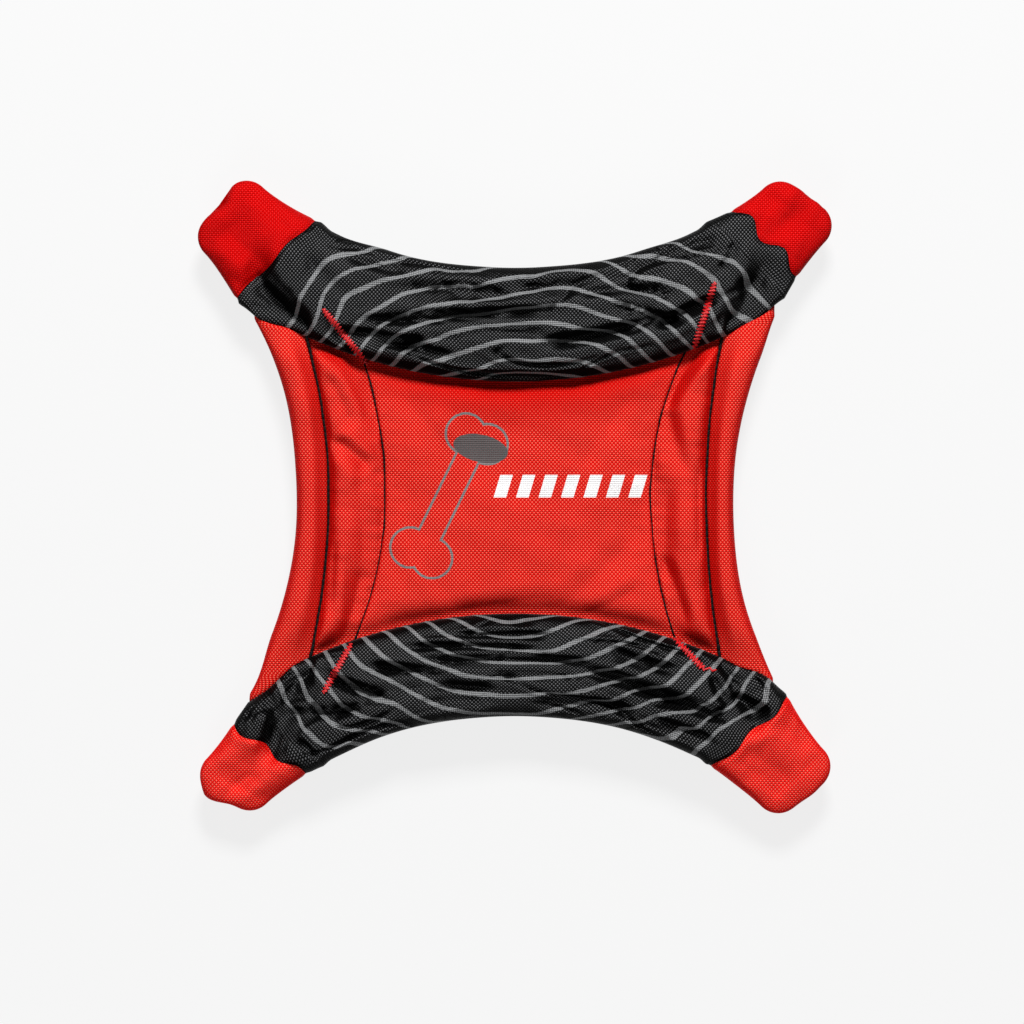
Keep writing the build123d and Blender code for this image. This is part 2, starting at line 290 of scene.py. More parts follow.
def buildWeave():
    # Plain weave. Each yarn rises and dips as a cosine along its run and is round across it, and the higher
    # of the weft and the warp shows. Out come the height of the crown, which yarn shows, and the normal of
    # the yarns.
    shape = weaveShape
    group, given, out = newGroup(
        "plainWeave", {"Vector": None, "Warp Pitch": 0.00072, "Weft Pitch": 0.0008, "Relief": 0.5},
        {"Crown": "Float", "Weft": "Float", "Normal": "Vector"},
    )
    x, y, _ = split(group, given["Vector"])
    a, b = calc(group, "DIVIDE", x, given["Warp Pitch"]), calc(group, "DIVIDE", y, given["Weft Pitch"])
    i, j = calc(group, "ROUND", a), calc(group, "ROUND", b)
    fx, fy = calc(group, "SUBTRACT", a, i), calc(group, "SUBTRACT", b, j)
    weftTurn = product(group, calc(group, "ADD", a, j), pi)
    warpTurn = product(group, calc(group, "ADD", b, i), pi)
    acrossWarp, acrossWeft = (
        calc(group, "SQRT", calc(group, "SUBTRACT", 1.0, product(group, f, f, shape["round"])))
        for f in (fx, fy)
    )
    weftHeight = calc(group, "MULTIPLY_ADD", calc(group, "COSINE", weftTurn), shape["rise"], acrossWeft)
    warpHeight = calc(group, "MULTIPLY_ADD", calc(group, "COSINE", warpTurn), -shape["rise"], acrossWarp)
    weft = calc(group, "GREATER_THAN", weftHeight, warpHeight)
    warp = calc(group, "SUBTRACT", 1.0, weft)
    crown = stretch(group, calc(group, "MAXIMUM", weftHeight, warpHeight), shape["low"], shape["high"])
    tilt = group.nodes.new("ShaderNodeCombineXYZ")
    weftRun = product(group, calc(group, "SINE", weftTurn), shape["runSlope"])
    warpRun = product(group, calc(group, "SINE", warpTurn), -shape["runSlope"])
    weftSide, warpSide = product(group, fy, shape["sideSlope"]), product(group, fx, shape["sideSlope"])
    for axis, (onWeft, onWarp) in enumerate(((weftRun, warpSide), (weftSide, warpRun))):
        slope = calc(group, "ADD", product(group, onWeft, weft), product(group, onWarp, warp))
        group.links.new(product(group, slope, given["Relief"]), tilt.inputs[axis])
    tilt.inputs[2].default_value = 1.0
    unit = calc(group, "NORMALIZE", tilt.outputs[0], kind="ShaderNodeVectorMath")
    half = (0.5, 0.5, 0.5)
    packed = calc(group, "MULTIPLY_ADD", unit, half, half, kind="ShaderNodeVectorMath")
    normal = group.nodes.new("ShaderNodeNormalMap")
    normal.uv_map = "cloth"
    group.links.new(packed, normal.inputs["Color"])
    group.links.new(crown, out["Crown"])
    group.links.new(weft, out["Weft"])
    group.links.new(normal.outputs[0], out["Normal"])
    return group


lineSway = {"size": 28.0, "detail": 1.5, "near": 0.007, "more": 0.018, "from": 0.075, "to": 0.12}


def buildRipplePrint():
    # Printed lines on circles about a centre: the distance from the nearest circle, a little uneven and
    # more so on the wide circles, against half the line's width. The lines stop at the last radius.
    group, given, out = newGroup(
        "ripplePrint",
        {"Vector": None, "Centre X": 0.0, "Spacing": 0.0082, "First": 0.0653, "Width": 0.0017, "Last": 0.121},
        {"Print": "Float"},
    )
    x, y, _ = split(group, given["Vector"])
    x = calc(group, "SUBTRACT", x, given["Centre X"])
    radius = distance(group, x, y)
    uneven = calc(group, "SUBTRACT", noise(group, given["Vector"], lineSway["size"], lineSway["detail"]), 0.5)
    outward = stretch(group, radius, lineSway["from"], lineSway["to"])
    sway = product(group, uneven, calc(group, "MULTIPLY_ADD", outward, lineSway["more"], lineSway["near"]))
    swayed = calc(group, "ADD", radius, sway)
    turns = calc(group, "DIVIDE", calc(group, "SUBTRACT", swayed, given["First"]), given["Spacing"])
    off = calc(group, "ABSOLUTE", calc(group, "SUBTRACT", turns, calc(group, "ROUND", turns)))
    fromLine = product(group, off, given["Spacing"])
    line = calc(group, "LESS_THAN", fromLine, product(group, given["Width"], 0.5))
    inside = calc(group, "LESS_THAN", swayed, given["Last"])
    group.links.new(product(group, line, inside), out["Print"])
    return group


# on upright sides the slope mask comes back up towards level, lifting most of the painted shade there
uprightShadeLift = {"level": 0.75, "from": 0.1, "to": 0.42}


def buildSlopeShade():
    # A mask for painted shade and painted highlight by slope: 1 where the cloth lies level, down to 0 where
    # it
    # stands steep: the share of the surface's own normal that points up or down, between two bounds. On the
    # upright sides it comes back up, so there the painted shade is mostly lifted.
    sides = uprightShadeLift
    group, given, out = newGroup(
        "paintedSlopeShade", {"Normal": None, "Low": 0.6, "High": 0.95}, {"Level": "Float"},
    )
    upright = calc(group, "ABSOLUTE", split(group, given["Normal"])[2])
    level = stretch(group, upright, given["Low"], given["High"])
    gone = stretch(group, upright, sides["from"], sides["to"])
    uprightLift = calc(group, "MULTIPLY_ADD", gone, -sides["level"], sides["level"])
    group.links.new(calc(group, "MAXIMUM", level, uprightLift), out["Level"])
    return group


motifLook = {  # in millimetres on the front panel: a bone in outline, an oval, and a row of slanted bars
    "bone": {"x": -25.0, "y": 0.0, "turn": 64.0, "half": 23.0, "slim": 4.6,
             "knob": 7.6, "out": 4.6, "past": 1.0, "line": 0.95},
    "oval": {"x": -13.0, "y": 18.0, "turn": -12.0, "long": 10.5, "tall": 5.2},
    "bars": {"x": -8.7, "y": 3.7, "pitch": 8.5, "count": 7, "share": 0.56, "tall": 8.6, "slant": 0.3},
    "grey": (0.2, 0.2, 0.2, 1), "ovalGrey": (0.1, 0.1, 0.1, 1), "white": (0.93, 0.93, 0.93, 1),
}


def turned(tree, vector, x, y, turn):
    # The place as seen from a point x, y, with axes turned by that many degrees, as two sockets in
    # millimetres
    px, py = (calc(tree, "SUBTRACT", product(tree, way, 1 / mm), start)
              for way, start in zip(split(tree, vector), (x, y)))
    c, s = math.cos(math.radians(turn)), math.sin(math.radians(turn))
    along = calc(tree, "ADD", product(tree, px, c), product(tree, py, s))
    across = calc(tree, "SUBTRACT", product(tree, py, c), product(tree, px, s))
    return along, across


def buildMotif(look):
    # Masks of the panel's plain print. The bone is a box with two round knobs at each end, drawn where the
    # distance from its edge is small. The oval is filled. The bars repeat along a line and lean over.
    masks = {"Bone": "Float", "Oval": "Float", "Bars": "Float"}
    group, given, out = newGroup("panelMotif", {"Vector": None}, masks)
    place = given["Vector"]
    bone = look["bone"]
    ways = turned(group, place, bone["x"], bone["y"], bone["turn"])
    along, across = (calc(group, "ABSOLUTE", way) for way in ways)
    shaft = calc(group, "MAXIMUM", calc(group, "SUBTRACT", along, bone["half"]),
                 calc(group, "SUBTRACT", across, bone["slim"]))
    far = distance(group, calc(group, "SUBTRACT", along, bone["half"] + bone["past"]),
                   calc(group, "SUBTRACT", across, bone["out"]))
    edge = calc(group, "MINIMUM", shaft, calc(group, "SUBTRACT", far, bone["knob"]))
    group.links.new(calc(group, "LESS_THAN", calc(group, "ABSOLUTE", edge), bone["line"] / 2), out["Bone"])
    oval = look["oval"]
    along, across = turned(group, place, oval["x"], oval["y"], oval["turn"])
    a, b = calc(group, "DIVIDE", along, oval["long"]), calc(group, "DIVIDE", across, oval["tall"])
    group.links.new(calc(group, "LESS_THAN", distance(group, a, b), 1.0), out["Oval"])
    bars = look["bars"]
    along, across = turned(group, place, bars["x"], bars["y"], 0.0)
    leaned = calc(group, "SUBTRACT", along, product(group, across, bars["slant"]))
    turns = calc(group, "DIVIDE", leaned, bars["pitch"])
    off = calc(group, "ABSOLUTE", calc(group, "SUBTRACT", calc(group, "FRACT", turns), 0.5))
    begun, going = calc(group, "GREATER_THAN", turns, 0.0), calc(group, "LESS_THAN", turns, bars["count"])
    tall = calc(group, "LESS_THAN", calc(group, "ABSOLUTE", across), bars["tall"] / 2)
    bar = calc(group, "LESS_THAN", off, bars["share"] / 2)
    group.links.new(product(group, bar, begun, going, tall), out["Bars"])
    return group


weaveGroup = buildWeave()
slopeShadeGroup = buildSlopeShade()
printGroup = buildRipplePrint()
motifGroup = buildMotif(motifLook)


# ---- materials

# gap is a painted shade between the yarns, yarn their own colour, and crown a painted highlight on their tops
redLook = {
    # warpShine is the share of that painted highlight that the warp's crowns get
    "warp": 0.72, "weft": 0.8, "relief": 0.45, "rough": 0.55, "warpShine": 0.05, "gloss": 0.015, "peak": 3.0,
    "gap": (0.36, 0.0, 0.0, 1), "yarn": (0.72, 0.0, 0.0, 1), "crown": (0.98, 0.134, 0.092, 1),
    # painted shade by slope: bounds of the slope mask, and the shares of crown highlight and colour kept when
    # steep
    "steep": {"low": 0.6, "high": 0.97, "crown": 0.2, "shade": 0.8},
}
# a darker, shaded copy of the red for the top caps: painted shade
shadedCapLook = redLook | {
    "gap": (0.31, 0.0, 0.0, 1), "yarn": (0.54, 0.0, 0.0, 1), "crown": (0.66, 0.014, 0.014, 1),
}
# a brighter, lit copy of the red for the bottom caps: painted light
litCapLook = redLook | {
    "gap": (0.5, 0.0, 0.0, 1), "yarn": (0.92, 0.0, 0.0, 1), "crown": (1.0, 0.155, 0.11, 1),
}
panelLook = redLook | {
    "motif": motifLook,
    # painted shade beside the top band, within a circle about this point, fading out between two radii
    "tuck": {"x": 2.0, "y": 150.0, "near": 106.0, "far": 130.0},
}
# grey crowns on near-black yarn are a painted highlight, and the gap a painted shade between the yarns
blackLook = {
    "warp": 0.72, "weft": 0.8, "relief": 0.8, "rough": 0.5, "warpShine": 0.05, "gloss": 0.015, "peak": 3.2,
    "gap": (0.0002, 0.0002, 0.0002, 1), "yarn": (0.0008, 0.0008, 0.0008, 1), "crown": (0.135, 0.136, 0.14, 1),
    "steep": {"low": 0.6, "high": 0.93, "crown": 0.08, "shade": 0.7},
    # the print's ink sits on the crowns, with a darker painted shade between them
    "print": {"centreX": 4.0, "first": 65.3, "gap": (0.045, 0.046, 0.048, 1), "ink": (0.31, 0.315, 0.32, 1)},
}
bottomBlackLook = blackLook | {"print": blackLook["print"] | {"first": 62.4}}
clothWear = {
    "size": 55.0, "detail": 3.0, "low": 0.3, "high": 0.7, "tone": 0.9,  # the slow unevenness
    "worn": 0.88,  # share of a plain print that is left between the yarns
    "crownPolish": 0.15,
}


def newMaterial(name):
    material = bpy.data.materials.new(name)
    material.use_nodes = True
    tree = material.node_tree
    tree.nodes.clear()
    shader = tree.nodes.new("ShaderNodeBsdfPrincipled")
    out = tree.nodes.new("ShaderNodeOutputMaterial")
    tree.links.new(shader.outputs[0], out.inputs[0])
    return material, tree, shader, out


def clothMaterial(name, look):
    # The yarn's own colour, a darker painted shade between the yarns and a pale painted highlight on their
    # crowns, lit more on the weft than on the warp, and a slow unevenness over the whole piece. Where the
    # cloth lies level the crowns carry that painted highlight; where it stands steep, in folds and beside
    # seams, the highlight fades and the colour is darkened: painted shade by slope.
    material, tree, shader, _ = newMaterial(name)
    uvMap = tree.nodes.new("ShaderNodeUVMap")
    uvMap.uv_map = "cloth"
    place = uvMap.outputs[0]
    pitch = {"Warp Pitch": look["warp"] * mm, "Weft Pitch": look["weft"] * mm}
    weave = placeGroup(tree, weaveGroup, {"Vector": place, "Relief": look["relief"]} | pitch)
    crown = weave["Crown"]
    steep = look["steep"]
    # painted shade and painted highlight by slope, from the surface's own normal
    facing = tree.nodes.new("ShaderNodeTexCoord").outputs["Normal"]
    bounds = {"Low": steep["low"], "High": steep["high"]}
    level = placeGroup(tree, slopeShadeGroup, {"Normal": facing} | bounds)["Level"]
    # painted shade beside the top band: the slope mask falls to 0 there, darkening the colour as on steep
    # cloth
    if "tuck" in look:
        tuck = look["tuck"]
        x, y, _ = split(tree, place)
        dx, dy = calc(tree, "SUBTRACT", x, tuck["x"] * mm), calc(tree, "SUBTRACT", y, tuck["y"] * mm)
        clear = stretch(tree, distance(tree, dx, dy), tuck["near"] * mm, tuck["far"] * mm)
        level = product(tree, level, clear)
    # a painted highlight on the yarns' crowns, more on the weft's, fading where the cloth stands steep
    shine = raised(tree, weave["Weft"], look["warpShine"])
    peak = calc(tree, "POWER", crown, look["peak"])
    crownHighlight = product(tree, peak, shine, raised(tree, level, steep["crown"]))
    color = mixColor(tree, crownHighlight, mixColor(tree, crown, look["gap"], look["yarn"]), look["crown"])
    if "print" in look:
        lines = look["print"]
        where = {"Vector": place, "Centre X": lines["centreX"] * mm, "First": lines["first"] * mm}
        drawn = placeGroup(tree, printGroup, where)["Print"]
        color = mixColor(tree, drawn, color, mixColor(tree, crown, lines["gap"], lines["ink"]))
    if "motif" in look:
        drawn = placeGroup(tree, motifGroup, {"Vector": place})
        worn = raised(tree, crown, clothWear["worn"])
        for mask, ink in (("Bone", "grey"), ("Oval", "ovalGrey"), ("Bars", "white")):
            color = mixColor(tree, product(tree, drawn[mask], worn), color, look["motif"][ink])
    uneven = noise(tree, place, clothWear["size"], clothWear["detail"])
    uneven = stretch(tree, uneven, clothWear["low"], clothWear["high"], "LINEAR")
    # the slow unevenness is the cloth's own tone; the second factor is a painted shade on steep cloth
    shade = product(tree, raised(tree, uneven, clothWear["tone"]), raised(tree, level, steep["shade"]))
    tree.links.new(mixColor(tree, 1.0, color, shade, "MULTIPLY"), shader.inputs["Base Color"])
    tree.links.new(weave["Normal"], shader.inputs["Normal"])
    rough = calc(tree, "MULTIPLY_ADD", crown, -clothWear["crownPolish"], look["rough"])
    tree.links.new(rough, shader.inputs["Roughness"])
    shader.inputs["Specular IOR Level"].default_value = look["gloss"]
    return material


redCloth = clothMaterial("redWovenNylon", redLook)
shadedCapCloth = clothMaterial("shadedCapRedNylon", shadedCapLook)
litCapCloth = clothMaterial("litCapRedNylon", litCapLook)
printedRedCloth = clothMaterial("redPrintedNylon", panelLook)
topBandCloth = clothMaterial("blackPrintedNylonTop", blackLook)
bottomBandCloth = clothMaterial("blackPrintedNylonBottom", bottomBlackLook)

threadPly = {"fine": 900.0, "uneven": 1.0, "dark": 0.45, "bump": 0.5, "bumpHeight": 0.0001}


def threadMaterial(name, color, rough, gloss):
    # Plied thread: fine slanted bands of light and dark along it, with a bump that follows them
    material, tree, shader, _ = newMaterial(name)
    place = tree.nodes.new("ShaderNodeTexCoord")
    wave = tree.nodes.new("ShaderNodeTexWave")
    wave.bands_direction = "DIAGONAL"
    wave.inputs["Scale"].default_value = threadPly["fine"]
    wave.inputs["Distortion"].default_value = threadPly["uneven"]
    tree.links.new(place.outputs["Object"], wave.inputs["Vector"])
    dark = tuple(threadPly["dark"] * c for c in color[:3]) + (1.0,)
    tree.links.new(mixColor(tree, wave.outputs["Fac"], dark, color), shader.inputs["Base Color"])
    bump = tree.nodes.new("ShaderNodeBump")
    bump.inputs["Strength"].default_value = threadPly["bump"]
    bump.inputs["Distance"].default_value = threadPly["bumpHeight"]
    tree.links.new(wave.outputs["Fac"], bump.inputs["Height"])
    tree.links.new(bump.outputs[0], shader.inputs["Normal"])
    shader.inputs["Roughness"].default_value = rough
    shader.inputs["Specular IOR Level"].default_value = gloss
    return material


darkThread = threadMaterial("blackThread", (0.006, 0.006, 0.006, 1.0), 0.6, 0.1)
redThread = threadMaterial("redThread", (0.72, 0.012, 0.016, 1.0), 0.45, 0.4)
print("materials made")


# ---- folds, by where they lie on the front: from x, y to x, y, bow, half width and depth

frontFolds = [
    # heads of the outer seams, over the bands and into the caps
    (-78.0, 46, -83, 70, 1.0, 2.4, 3.6), (-102, 91, -76, 58, -2.0, 7.0, 4.4),
    (-98, 80, -86, 68, 1.0, 2.4, 1.6), (-90, 84, -112, 104, 1.0, 5.5, 1.2),
    (-90, 66, -100, 74, 1.0, 1.8, 1.0), (78.0, 48, 83, 70, -1.0, 2.4, 3.6), (78, 58, 97, 94, -1.0, 7.2, 3.5),
    (84, 76, 96, 80, 1.5, 5.0, 1.0), (90, 92, 116, 112, 1.5, 5.0, 0.9), (76, 84, 84, 98, -1.0, 2.0, 1.4),
    (-76.0, -50, -79, -72, -1.0, 2.4, 3.4), (-94, -104, -77, -58, 1.5, 5.6, 4.0),
    (-88, -96, -110, -113, -1.0, 5.0, 1.2), (-97, -68, -90, -86, 1.0, 2.2, 1.8),
    (-84, -92, -74, -100, 1.0, 2.4, 1.6), (-92, -78, -104, -84, 1.0, 2.0, 1.4),
    (77.6, -50, 83, -70, 1.0, 2.4, 3.4), (78, -56, 93, -93, 1.5, 5.6, 3.8),
    (84, -94, 106, -110, 1.0, 5.0, 0.9), (74, -66, 84, -84, -1.0, 2.2, 2.2),
    (88, -66, 96, -78, 1.0, 2.4, 1.8), (80, -74, 98, -82, -1.0, 2.4, 2.2),
    # top band, lengthwise
    (-66, 65, 24, 70.5, 1.0, 2.1, 3.0), (6, 57.5, 58, 68.5, -1.5, 2.4, 3.3),
    (34, 72.5, 66, 64, 1.0, 2.0, 2.6), (-36, 48.5, 42, 47.5, -2.6, 1.6, 1.2), (-50, 78, 6, 74, 2.0, 3.0, 2.0),
    (-8, 79, 50, 84, -1.6, 2.8, 1.9), (-72, 62, -30, 56, 1.5, 2.4, 2.6), (-18, 62.5, 14, 61, 1.0, 2.2, 2.0),
    (50, 61, 80, 76, 1.5, 2.2, 2.6), (-40, 84, -66, 92, 1.0, 2.6, 1.4), (-62, 74, -80, 92, 1.5, 2.4, 1.4),
    (56, 88, 78, 98, 1.0, 2.6, 1.4), (20, 76, 62, 78, 1.0, 2.0, 1.8), (-58, 58, -20, 52, 1.0, 1.8, 1.6),
    (-30, 69, 2, 66, 1.0, 1.6, 1.5),
    # bottom band, lengthwise
    (-46, -57.5, 14, -58.5, 1.4, 1.7, 2.2), (-46, -61.8, 38, -62.4, 0.6, 1.8, 2.6),
    (-26, -53.2, 18, -52.8, 0.8, 1.6, 1.7), (-58, -64, -22, -68, 0.5, 2.3, 3.0),
    (-52, -72.5, -2, -73.5, 1.0, 2.6, 2.3), (-74, -66, -46, -76, -1.0, 2.4, 3.2),
    (16, -63, 56, -74.5, 1.0, 2.2, 3.3), (42, -71.5, 86, -86, 1.0, 2.5, 4.0),
    (-90, -84, -56, -80, 1.0, 2.5, 2.4), (34, -57, 64, -66, -1.0, 2.2, 2.2),
    (52, -84, 78, -94, 1.0, 2.4, 1.6), (-14, -67.5, 30, -68.5, 1.0, 1.8, 1.9),
    (6, -77, 50, -81, 1.0, 2.2, 1.6), (-40, -78.5, -8, -78, 1.0, 2.0, 1.4),
    # creases across the ends of the bands
    (-74, 88, -92, 70, 0.5, 1.6, 0.5), (74, 91, 92, 76, -0.5, 1.6, 0.5), (-70, -84, -88, -70, 0.5, 1.6, 0.7),
    (72, -86, 88, -74, 0.5, 1.6, 0.5),
    # caps, beside the middle dent
    (-98, 114, -80, 92, 1.0, 3.6, 0.4), (102, 116, 84, 96, 1.0, 3.6, 0.5),
    (-118, -100, -98, -86, 1.0, 3.0, 0.7), (-112, -116, -96, -104, 1.0, 2.0, 0.5),
    (104, -116, 82, -96, 1.0, 4.0, 0.4), (112, -96, 96, -84, -1.0, 3.4, 0.5),
]
backFolds = [
    (79.5, 57, 86, 80, -1.0, 3.6, 3.6), (84, 70, 105, 103, -1.0, 4.6, 3.6), (-80, 57, -86, 80, 1.0, 3.6, 3.8),
    (-84, 70, -106, 106, 1.0, 4.0, 3.4), (78, -59, 85, -80, 1.0, 3.2, 3.2),
    (84, -70, 100, -98, 1.5, 4.6, 3.2), (-78, -57, -84, -76, -1.0, 3.2, 3.0),
    (-80, -68, -101, -97, -1.5, 5.4, 3.2), (-20, 64, 62, 67, 1.0, 2.0, 1.3),
    (-58, 70, -12, 62, -1.0, 2.2, 1.2), (-46, 76, 10, 77, 1.5, 2.8, 0.7), (-34, -58, 38, -59, 1.0, 1.8, 1.0),
    (-60, -70, -14, -67, -1.0, 2.2, 1.2), (10, -69, 58, -74, 1.0, 2.2, 1.3),
]


pressShape = {
    "upright": (0.05, 0.75), "thinnest": 0.5,  # between these shares of the half thickness a fold sets in
    "waves": ((0.25, 15.0, 5), (0.1, 5.0, 8)),  # height, size and seed of the cloth's own unevenness
    "outward": 0.9, "most": 0.78,
}


def pressIn(x, y, z, room, extra=0.0, most=pressShape["most"]):
    # Folds, and whatever extra is given, move the front down and the back up. room is the half thickness
    # there, and a fold takes no more than most of it. At the sides, where the cloth stands upright, nothing
    # moves.
    shape = pressShape
    rise = z - body["midZ"]
    share = smooth(np.abs(rise) / np.maximum(room, shape["thinnest"]), *shape["upright"])
    depth = np.where(rise > 0, foldDepth(x, y, frontFolds), foldDepth(x, y, backFolds))
    for height, size, seed in shape["waves"]:
        depth = depth + height * ripple(x, y, size, seed)
    depth = np.clip(depth + extra, -shape["outward"], most * np.maximum(room, 0.0))
    return z - np.sign(rise) * depth * share


# ---- the padded bands, and the caps over their ends

bandShape = {
    "along": 240, "around": 136,  # grid
    "thick": 23.4,
    "full": 2.7,  # 2 is an ellipse, and more is boxier
    "outer": {top: -22.6, bottom: -19.6},  # from the middle line to the hollow side
    "inner": {top: 20.6, bottom: 19.4},  # and to the panel
    "slack": {top: 1.2, bottom: 0.7},  # how far the hollow side comes in away from the middle
    # and more of that beside the ears
    "earSlack": {(top, left): 1.7, (top, right): 1.1, (bottom, left): -0.4, (bottom, right): 0.0},
    "flare": 1.2,  # how much it goes out again at a cap
    # the shares of the way to an ear over which those three set in
    "slackOver": (0.1, 0.55), "earSlackOver": (0.6, 0.85), "flareOver": (0.9, 1.0),
    # how far the outermost edge beside the tubes is taken back, and the x over which that and a lobe set in
    "trim": {(top, left): 1.8, (top, right): 2.0, (bottom, left): 0.4, (bottom, right): 2.2},
    "trimOver": (91, 103), "lobeOver": (82, 97),
    "thin": 0.12, "thinOver": (0.55, 1.0),  # share of the thickness lost at an ear
    "seamDip": 0.085, "seamWide": 1.2, "seamPinch": 0.3,  # where a cap is sewn on; the last is for its width
    "seamPull": 9.0,  # how far from a cap's seam the cloth follows its waves
    "creases": ((2.1, 12.0, 40), (0.8, 6.5, 60)),  # depth, size and seed
    "calm": 0.5, "calmOver": (0.8, 1.0),  # share of the creases' depth lost at an ear
    "backShift": 90.0,  # the back's creases are others
    "most": (0.25, 0.78), "mostOver": (1.5, 8.0),  # shallow beside the panel, so nothing comes through
    "evened": 10,  # rows that share their cloth lengths
}
earShape = {
    "rows": 96, "rowsBefore": 0.7, "cornerRows": 28, "cornerRadius": 9.0,
    "endThick": 9.0, "tip": 0.02,  # the last is the share of the thickness left at the very end
    "taper": 1.5, "thinning": 0.9, "rounding": 0.7,  # powers: how soon it narrows, thins and rounds off
    "notchWide": 5.0, "settle": 3.0, "turnOver": (0.3, 1.0),
    # from the centre to the cap's seam and to the end, the end's width and notch, how far the end moves and
    # turns towards the side, how far the band's edge comes in beside the tube, and the seam's own slant and
    # waves
    "ears": {
        (top, left): {
            "seam": 127.8, "reach": 158.4, "wide": 33.4, "notch": 2.2, "lean": 1.5, "turn": -1.0,
            "lobe": 3.0, "slant": 0.0, "wave": 0.6, "phase": 0.3,
        },
        (top, right): {
            "seam": 136.0, "reach": 159.4, "wide": 31.0, "notch": 0.0, "lean": -0.4, "turn": 1.0,
            "lobe": 0.0, "slant": 0.0, "wave": -2.2, "phase": 0.1,
        },
        (bottom, left): {
            "seam": 134.0, "reach": 160.2, "wide": 28.2, "notch": -2.4, "lean": -1.8, "turn": 1.8,
            "lobe": -3.4, "slant": 3.0, "wave": 1.4, "phase": -0.7,
        },
        (bottom, right): {
            "seam": 127.0, "reach": 159.2, "wide": 32.0, "notch": -0.7, "lean": -1.2, "turn": 0.7,
            "lobe": 2.0, "slant": 1.0, "wave": 1.0, "phase": -0.5,
        },
    },
}
leanAtEar = math.radians(body["seamLean"])
arcToEar = leanAtEar * body["bandMid"]


def sectionLine(t):
    # The middle line's point at the share t of the way to the ears, from the band's axis, and the way that
    # its section leans: along the arc's radius at the middle, and across the diagonal at an ear.
    theta = t * leanAtEar
    lean = theta + np.sign(t) * (pi / 4 - leanAtEar) * np.abs(t) ** 4
    cx, cy = body["bandMid"] * np.sin(theta), -body["bandMid"] * np.cos(theta)
    return cx, cy, np.sin(lean), -np.cos(lean)


def acrossBand(t, far):
    # How far along its section's line each point lies that is far beyond the middle arc
    cx, cy, ex, ey = sectionLine(t)
    dot = cx * ex + cy * ey
    radius = body["bandMid"] + far
    return -dot + np.sqrt(dot**2 + radius**2 - body["bandMid"] ** 2)


def bySide(where, values, end):
    # The left side's value where the place is below 0, and the right side's elsewhere
    return np.where(where < 0, values[(end, left)], values[(end, right)])


def lobeAt(x, end):
    # How far a band's edge comes in towards the panel beside the tubes
    lobes = {place: ear["lobe"] for place, ear in earShape["ears"].items()}
    size, trim = bySide(x, lobes, end), bySide(x, bandShape["trim"], end)
    return size * smooth(np.abs(x), *bandShape["lobeOver"]) - trim * smooth(np.abs(x), *bandShape["trimOver"])


def seamPush(c, ear, gone):
    # A cap's seam runs slanted and in waves, and the cloth beside it follows: a push along the diagonal.
    push = ear["slant"] * c + ear["wave"] * np.cos(2 * pi * (c + ear["phase"]))
    return push * bell(gone, bandShape["seamPull"])


def roundSection(around, full):
    # A superellipse over one turn, as two rows from -1 to 1: the cosine and the sine to the power 2 / full
    phi = np.linspace(0, 2 * pi, around + 1)[None, :]
    return (np.sign(way) * np.abs(way) ** (2 / full) for way in (np.cos(phi), np.sin(phi)))


def bandRows(end):
    # A section is a fat superellipse between the hollow side's circle and the panel's circle. It is carried
    # along the middle arc from ear to ear.
    shape = bandShape
    t = np.linspace(-1, 1, shape["along"])[:, None]
    out = np.abs(t)
    c, s = roundSection(shape["around"], shape["full"])
    middle = (shape["inner"][end] + shape["outer"][end]) / 2
    half = (shape["inner"][end] - shape["outer"][end]) / 2
    cx, cy, ex, ey = sectionLine(t)
    slack = shape["slack"][end] * smooth(out, *shape["slackOver"])
    slack = slack + bySide(t, shape["earSlack"], end) * smooth(out, *shape["earSlackOver"])
    slack = (slack - shape["flare"] * smooth(out, *shape["flareOver"])) * smooth(-c, 0.0, 1.0)
    w = acrossBand(t, middle + half * c + slack)
    w = acrossBand(t, middle + half * c + slack + lobeAt(cx + w * ex, end) * smooth(c, 0.2, 1.0))
    w0 = acrossBand(t, middle + 0 * c)
    dip, push = 0, 0
    for side in (left, right):
        ear = earShape["ears"][(end, side)]
        gone = (1 - side * t) * arcToEar + ear["seam"] - body["capReach"]  # distance from the cap's seam
        dip = dip + shape["seamDip"] * bell(gone, shape["seamWide"])
        push = push + seamPush(c, ear, gone)
    halfThick = shape["thick"] / 2 * (1 - shape["thin"] * smooth(out, *shape["thinOver"])) * (1 - dip)
    w = w0 + (w - w0) * (1 - shape["seamPinch"] * dip)
    z = body["midZ"] + halfThick * s
    x = cx + w * ex + np.sign(t) * push / math.sqrt(2)
    y = (body["bandAxis"] + cy + w * ey + push / math.sqrt(2)) * end
    arc = t * arcToEar + shape["backShift"] * (s < 0)
    extra = sum(depth * creases(arc, w, size, seed + end) for depth, size, seed in shape["creases"])
    extra = extra * (1 - shape["calm"] * smooth(out, *shape["calmOver"]))
    least, most = shape["most"]
    most = least + (most - least) * smooth((1 - c) * half, *shape["mostOver"])
    z = pressIn(x, y, z, halfThick + 0 * z, extra, most)
    crown = shape["around"] // 4
    run = w0[:, crown:crown + 1] - evened(unroll(w, z, crown), shape["evened"])
    flatX, flatY = cx + run * ex, (body["bandAxis"] + cy + run * ey) * end
    return np.stack([x, y, np.maximum(z, 0.0)], -1), np.stack([flatX, flatY], -1)


